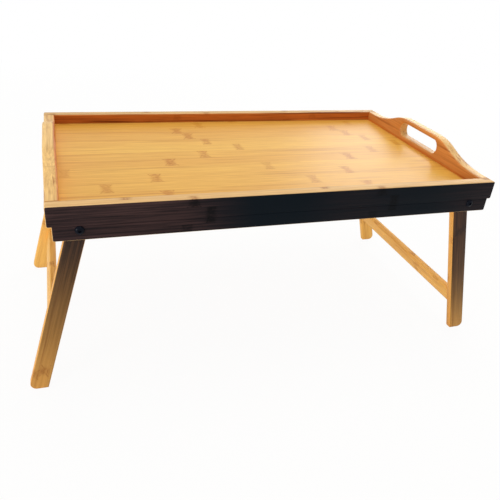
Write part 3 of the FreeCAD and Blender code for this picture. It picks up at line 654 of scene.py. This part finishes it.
def nut_growth():
    """Hexagon nuts with their corners turned off, and a nylon locking collar on the far side."""
    tree, inputs = new_growth("lock nuts", PIVOT_INPUTS + [
        "Across Corners", "Hexagon Height", "Nut Height", "Bore Radius", "Collar Radius"])
    size = inputs.outputs
    radius = add(tree, "ShaderNodeMath", {0: size["Across Corners"], 1: 2.0}, operation="DIVIDE")
    base = add(tree, "ShaderNodeMath", {0: size["Nut Height"], 1: -1.0}, operation="MULTIPLY")
    top = add(tree, "ShaderNodeMath", {0: size["Hexagon Height"], 1: -1.0}, operation="MULTIPLY")
    hexagon = solid_cylinder(tree, radius, size["Hexagon Height"], top, vertices=6)
    ball = add(tree, "GeometryNodeMeshUVSphere",
               {"Segments": ROUND_FACETS, "Rings": ROUND_FACETS * 2 // 3, "Radius": 1.0})
    tall = add(tree, "ShaderNodeMath", {0: size["Nut Height"], 1: TURNED_HEIGHT}, operation="MULTIPLY")
    wide = add(tree, "ShaderNodeMath", {0: radius, 1: TURNED_WIDTH}, operation="MULTIPLY")
    stretch = add(tree, "ShaderNodeCombineXYZ", {"X": wide, "Y": wide, "Z": tall})
    turned = add(tree, "GeometryNodeTransform", {"Geometry": ball, "Scale": stretch})
    hexagon = add(tree, "GeometryNodeMeshBoolean", {"Mesh 2": [hexagon, turned]}, operation="INTERSECT")
    collar_height = add(tree, "ShaderNodeMath",
                        {0: size["Nut Height"], 1: size["Hexagon Height"]}, operation="SUBTRACT")
    collar = solid_cylinder(tree, size["Collar Radius"], collar_height, base)
    # the bore's cutter stands out by the nut's height at each end
    below = add(tree, "ShaderNodeMath", {0: size["Nut Height"], 1: -2.0}, operation="MULTIPLY")
    through = add(tree, "ShaderNodeMath", {0: size["Nut Height"], 1: 3.0}, operation="MULTIPLY")
    bore = solid_cylinder(tree, size["Bore Radius"], through, below)
    finished = []
    for form, material in ((hexagon, ZINC), (collar, NYLON)):
        bored = add(tree, "GeometryNodeMeshBoolean",
                    {"Mesh 1": form, "Mesh 2": bore}, operation="DIFFERENCE")
        whole = on_the_pivots(tree, inputs, bored)
        finished.append(add(tree, "GeometryNodeSetMaterial", {"Geometry": whole, "Material": material}))
    nuts = add(tree, "GeometryNodeJoinGeometry", {"Geometry": finished})
    add(tree, "NodeGroupOutput", {0: nuts})
    return tree


def corners(kind):
    """The four CAD nodes of one kind of fastener."""
    return [f"{side}_{end}_{kind}" for side in SIDES for end in ENDS]


def fit_pivot_hardware():
    """Dress the pivots: bolts, nuts and washers, at the places and sizes of the CAD nodes."""
    bolt_low, bolt_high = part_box("left_front_pivot_bolt")
    nut_low, nut_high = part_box("left_front_pivot_nut")
    rail_low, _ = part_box("front_rail")
    pivot = {"Pivot Spacing": -(bolt_low.x + bolt_high.x), "Pivot Height": (bolt_low.z + bolt_high.z) / 2}
    grown_piece("pivot_bolts", bolt_growth(), dict(pivot, **{
        "Seat Spacing": -2 * rail_low.y, "Head Radius": (bolt_high.x - bolt_low.x) / 2,
        "Head Height": rail_low.y - bolt_low.y, "Socket Across Corners": SOCKET_CORNERS_MM * MM,
        "Socket Depth": SOCKET_DEPTH_MM * MM, "Shank Radius": SHANK_RADIUS_MM * MM,
        "Shank Length": bolt_high.y - rail_low.y, "Thread Length": bolt_high.y - nut_high.y,
        "Thread Pitch": THREAD_PITCH_MM * MM}),
        "tray", corners("pivot_bolt"))
    grown_piece("pivot_nuts", nut_growth(), dict(pivot, **{
        "Seat Spacing": -2 * nut_low.y, "Across Corners": nut_high.x - nut_low.x,
        "Hexagon Height": NUT_HEXAGON_MM * MM, "Nut Height": nut_high.y - nut_low.y,
        "Bore Radius": (SHANK_RADIUS_MM + NUT_BORE_GAP_MM) * MM,
        "Collar Radius": COLLAR_RADIUS_MM * MM}),
        "tray", corners("pivot_nut"))
    for kind, material in (("spacer_washer", NYLON), ("nut_washer", ZINC)):
        for node in corners(kind):
            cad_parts[node].data.materials.clear()
            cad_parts[node].data.materials.append(material)


# ---------------------------------------------------------------- studio

# The camera as it was fitted to the photograph: angles in radians, focal length in pixels.
CAMERA_PLACE = Vector((-0.2278, -0.6323, 0.4544))
CAMERA_YAW = 0.3554
CAMERA_PITCH = 0.5128
CAMERA_ROLL = 0.0927
FOCAL_PIXELS = 553.7
IMAGE_PIXELS = 500.0
SENSOR_WIDTH_MM = 36.0
NEAREST_SEEN = 0.01

# The paper floor glows this strongly near the tray, where it keeps a faint shadow, and fades to
# white between these distances from the tray's middle. Only the camera, metal and glass see its glow.
FLOOR_GLOW = 0.94
SHADOW_REACH = (0.7, 1.6)
FLOOR_REACH = 12.0
FLOOR_DROP_MM = 0.2
WORLD_LIGHT = 0.54
SOFTBOXES = [
    {"name": "softbox behind right", "place": (1.4, 1.4, 0.85), "target": (0.1, 0.0, 0.2),
     "size": 1.2, "watts": 13.0},
    {"name": "softbox overhead", "place": (0.1, 0.15, 1.8), "target": (0.0, 0.0, 0.2),
     "size": 1.4, "watts": 13.5},
    {"name": "fill from the left", "place": (-1.5, -1.0, 0.3), "target": (0.0, 0.0, 0.1),
     "size": 0.5, "watts": 14.0}]


def place_camera():
    """The photograph's viewpoint: front left, looking down along the tray."""
    ahead = Vector((math.sin(CAMERA_YAW) * math.cos(CAMERA_PITCH),
                    math.cos(CAMERA_YAW) * math.cos(CAMERA_PITCH), -math.sin(CAMERA_PITCH)))
    level = Vector((math.cos(CAMERA_YAW), -math.sin(CAMERA_YAW), 0.0))
    upwards = level.cross(ahead)
    right = math.cos(CAMERA_ROLL) * level + math.sin(CAMERA_ROLL) * upwards
    top = math.cos(CAMERA_ROLL) * upwards - math.sin(CAMERA_ROLL) * level
    lens = bpy.data.cameras.new("camera")
    lens.sensor_width = SENSOR_WIDTH_MM
    lens.lens = FOCAL_PIXELS / IMAGE_PIXELS * SENSOR_WIDTH_MM
    lens.clip_start = NEAREST_SEEN
    camera = bpy.data.objects.new("camera", lens)
    bpy.context.scene.collection.objects.link(camera)
    axes = Matrix((right, top, -ahead)).transposed()
    camera.matrix_world = Matrix.Translation(CAMERA_PLACE) @ axes.to_4x4()
    bpy.context.scene.camera = camera


def seen_directly(tree):
    """1 where a ray comes from the camera, from a gloss or through glass, else 0."""
    path = add(tree, "ShaderNodeLightPath")
    seen = add(tree, "ShaderNodeMath",
               {0: path.outputs["Is Camera Ray"], 1: path.outputs["Is Glossy Ray"]}, operation="MAXIMUM")
    return add(tree, "ShaderNodeMath",
               {0: seen, 1: path.outputs["Is Transmission Ray"]}, operation="MAXIMUM")


def lay_floor():
    """A pale paper floor that keeps a faint shadow near the tray and is white further off."""
    material, tree = new_material("pale paper floor")
    paper = add(tree, "ShaderNodeBsdfDiffuse", {"Color": linear("#F2EEE6")})
    glow = add(tree, "ShaderNodeEmission", {"Color": (1, 1, 1, 1), "Strength": 1.0})
    places = add(tree, "ShaderNodeTexCoord")
    distance = add(tree, "ShaderNodeVectorMath", {0: places.outputs["Object"]}, operation="LENGTH")
    white = add(tree, "ShaderNodeMapRange", {
        "Value": distance.outputs["Value"], "From Min": SHADOW_REACH[0], "From Max": SHADOW_REACH[1],
        "To Min": FLOOR_GLOW, "To Max": 1.0})
    share = add(tree, "ShaderNodeMath", {0: seen_directly(tree), 1: white}, operation="MULTIPLY")
    surface = add(tree, "ShaderNodeMixShader", {0: share, 1: paper, 2: glow})
    add(tree, "ShaderNodeOutputMaterial", {"Surface": surface})
    form = bmesh.new()
    bmesh.ops.create_grid(form, x_segments=1, y_segments=1, size=FLOOR_REACH)
    mesh = bpy.data.meshes.new("studio_floor")
    form.to_mesh(mesh)
    form.free()
    mesh.materials.append(material)
    floor = bpy.data.objects.new("studio_floor", mesh)
    floor.location.z = -FLOOR_DROP_MM * MM
    bpy.context.scene.collection.objects.link(floor)


def light_world():
    """White all round to the camera, a softer even light on the tray."""
    world = bpy.data.worlds.new("studio")
    world.use_nodes = True
    tree = world.node_tree
    tree.nodes.clear()
    share = seen_directly(tree)
    strength = add(tree, "ShaderNodeMapRange", {"Value": share, "To Min": WORLD_LIGHT, "To Max": 1.0})
    sky = add(tree, "ShaderNodeBackground", {"Color": (1, 1, 1, 1), "Strength": strength})
    add(tree, "ShaderNodeOutputWorld", {"Surface": sky})
    bpy.context.scene.world = world


def hang_softbox(name, place, target, size, watts):
    """A square soft light aimed at a point."""
    lamp = bpy.data.lights.new(name, "AREA")
    lamp.shape = "SQUARE"
    lamp.size = size
    lamp.energy = watts
    softbox = bpy.data.objects.new(name, lamp)
    bpy.context.scene.collection.objects.link(softbox)
    aim = (Vector(target) - Vector(place)).to_track_quat("-Z", "Y")
    softbox.matrix_world = Matrix.Translation(place) @ aim.to_matrix().to_4x4()


# ---------------------------------------------------------------- the scene

dress_boards()
fit_pivot_hardware()
dress_dowels()
lay_floor()
light_world()
for softbox in SOFTBOXES:
    hang_softbox(**softbox)
place_camera()
bpy.context.scene.view_settings.view_transform = "Standard"
